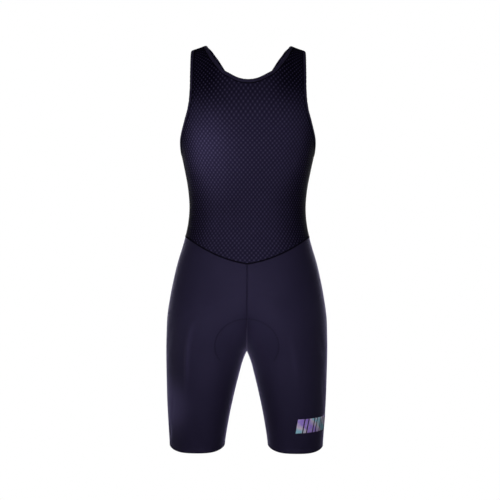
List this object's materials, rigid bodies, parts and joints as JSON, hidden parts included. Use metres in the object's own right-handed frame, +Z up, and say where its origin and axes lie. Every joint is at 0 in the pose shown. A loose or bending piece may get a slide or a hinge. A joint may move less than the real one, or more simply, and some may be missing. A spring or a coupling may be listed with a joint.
{
  "type": "cycling bib shorts",
  "caption": "Sleeveless mesh bib with a racer back, sewn to smooth knee-length stretch cycling shorts with a seat pad, filled out and hollow.",
  "frame": {"origin": "midway between the tops of the two shoulder straps, at their height, where the wearer's shoulders hold the garment up", "axes": "+Z up, -Y the wearer's front, +X the wearer's left"},
  "size_m": [0.3312, 0.2378, 0.8319],
  "materials": {
    "mesh_knit": "dark navy open mesh knit, matt",
    "stretch_knit": "dark navy smooth stretch knit with a soft sheen",
    "binding": "near-black elastic binding, matt with a slight sheen",
    "pad": "dark brushed cloth over foam"
  },
  "bodies": {
    "root": {"front_bib": "mesh_knit", "back_bib": "mesh_knit", "neck_binding": "binding", "armhole_binding_left": "binding", "armhole_binding_right": "binding", "shorts_left": "stretch_knit", "shorts_right": "stretch_knit", "seat_pad": "pad"}
  },
  "joints": []
}
